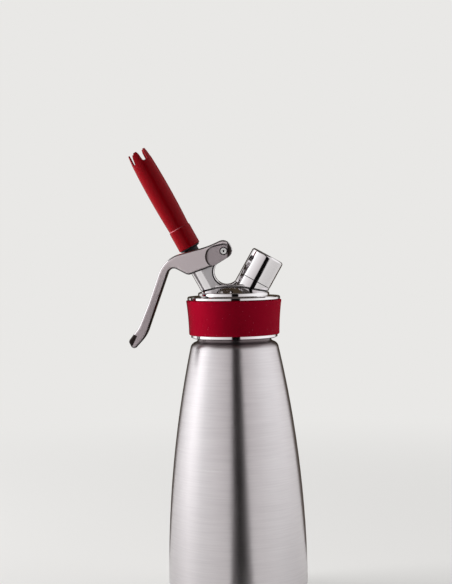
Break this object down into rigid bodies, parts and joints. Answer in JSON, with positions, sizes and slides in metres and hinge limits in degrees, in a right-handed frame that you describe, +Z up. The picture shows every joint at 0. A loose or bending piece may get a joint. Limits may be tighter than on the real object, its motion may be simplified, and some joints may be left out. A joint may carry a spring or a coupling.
{
  "type": "whipped cream dispenser",
  "caption": "Steel bottle with a screwed-on head, a hand lever that presses a spring-closed valve, a slanted decorating nozzle and a capped gas inlet.",
  "frame": {"origin": "centre of the bottle's foot, on the plane it stands on", "axes": "+Z up along the bottle's axis; the nozzle and the lever lean and reach towards -X, the gas inlet leans towards +X; +Y is the lever pin's axis"},
  "size_m": [0.1277, 0.1016, 0.3299],
  "materials": {
    "brushed_steel": "fine brushed",
    "polished_steel": "mirror polished",
    "satin_casting": "satin, tumbled",
    "pin_steel": "turned",
    "spring_wire": "drawn wire",
    "red_silicone": "matte",
    "clear_silicone": "matte",
    "seal_rubber": "matte",
    "black_plastic": "satin",
    "white_acetal": "matte",
    "dark_red_plastic": "gloss"
  },
  "bodies": {
    "bottle": {"bottle": "brushed_steel"},
    "gasket": {"head_gasket": "clear_silicone"},
    "head": {"head_casting": "polished_steel", "grip_band": "red_silicone", "lever_pin": "pin_steel", "pin_clip": "pin_steel", "valve_bush": "white_acetal", "bush_o_ring": "seal_rubber", "return_spring": "spring_wire", "inlet_valve_body": "polished_steel", "inlet_o_ring": "seal_rubber", "piercing_pin": "pin_steel", "charger_seal": "seal_rubber", "check_valve_disc": "seal_rubber", "check_valve_retainer": "pin_steel"},
    "lever": {"lever": "satin_casting"},
    "valve": {"piston_stem": "pin_steel", "stem_o_rings": "seal_rubber", "piston_seal": "seal_rubber", "spring_collar": "pin_steel", "nozzle_adapter": "black_plastic", "adapter_o_ring": "seal_rubber"},
    "nozzle": {"nozzle": "dark_red_plastic"},
    "cap": {"charger_cap": "polished_steel"}
  },
  "joints": [
    {"name": "head_lift", "type": "slide", "parent": "bottle", "child": "gasket", "axis": [0, 0, 1], "range_m": [0, 0.0091]},
    {"name": "head_turn", "type": "hinge", "parent": "gasket", "child": "head", "pos_m": [0, 0, 0.2136], "axis": [0, 0, 1], "range_deg": [0, 720]},
    {"name": "lever_squeeze", "type": "hinge", "parent": "head", "child": "lever", "pos_m": [-0.00688, 0, 0.25322], "axis": [0, -1, 0], "range_deg": [0, 8.5], "stiffness_Nm_per_rad": 3.3, "springref_deg": -5.73},
    {"name": "valve_travel", "type": "slide", "parent": "head", "child": "valve", "axis": [0.4741, 0, -0.8805], "range_m": [0, 0.0031], "deforming": ["return_spring"]},
    {"name": "nozzle_unscrew", "type": "slide", "parent": "valve", "child": "nozzle", "axis": [-0.4741, 0, 0.8805], "range_m": [0, 0.02]},
    {"name": "cap_unscrew", "type": "slide", "parent": "head", "child": "cap", "axis": [0.4955, 0, 0.8686], "range_m": [0, 0.03]}
  ],
  "couplings": [
    {"joint": "head_lift", "follows": "head_turn", "m_per_rad": 0.0007162},
    {"joint": "valve_travel", "follows": "lever_squeeze", "m_per_rad": 0.0203}
  ]
}
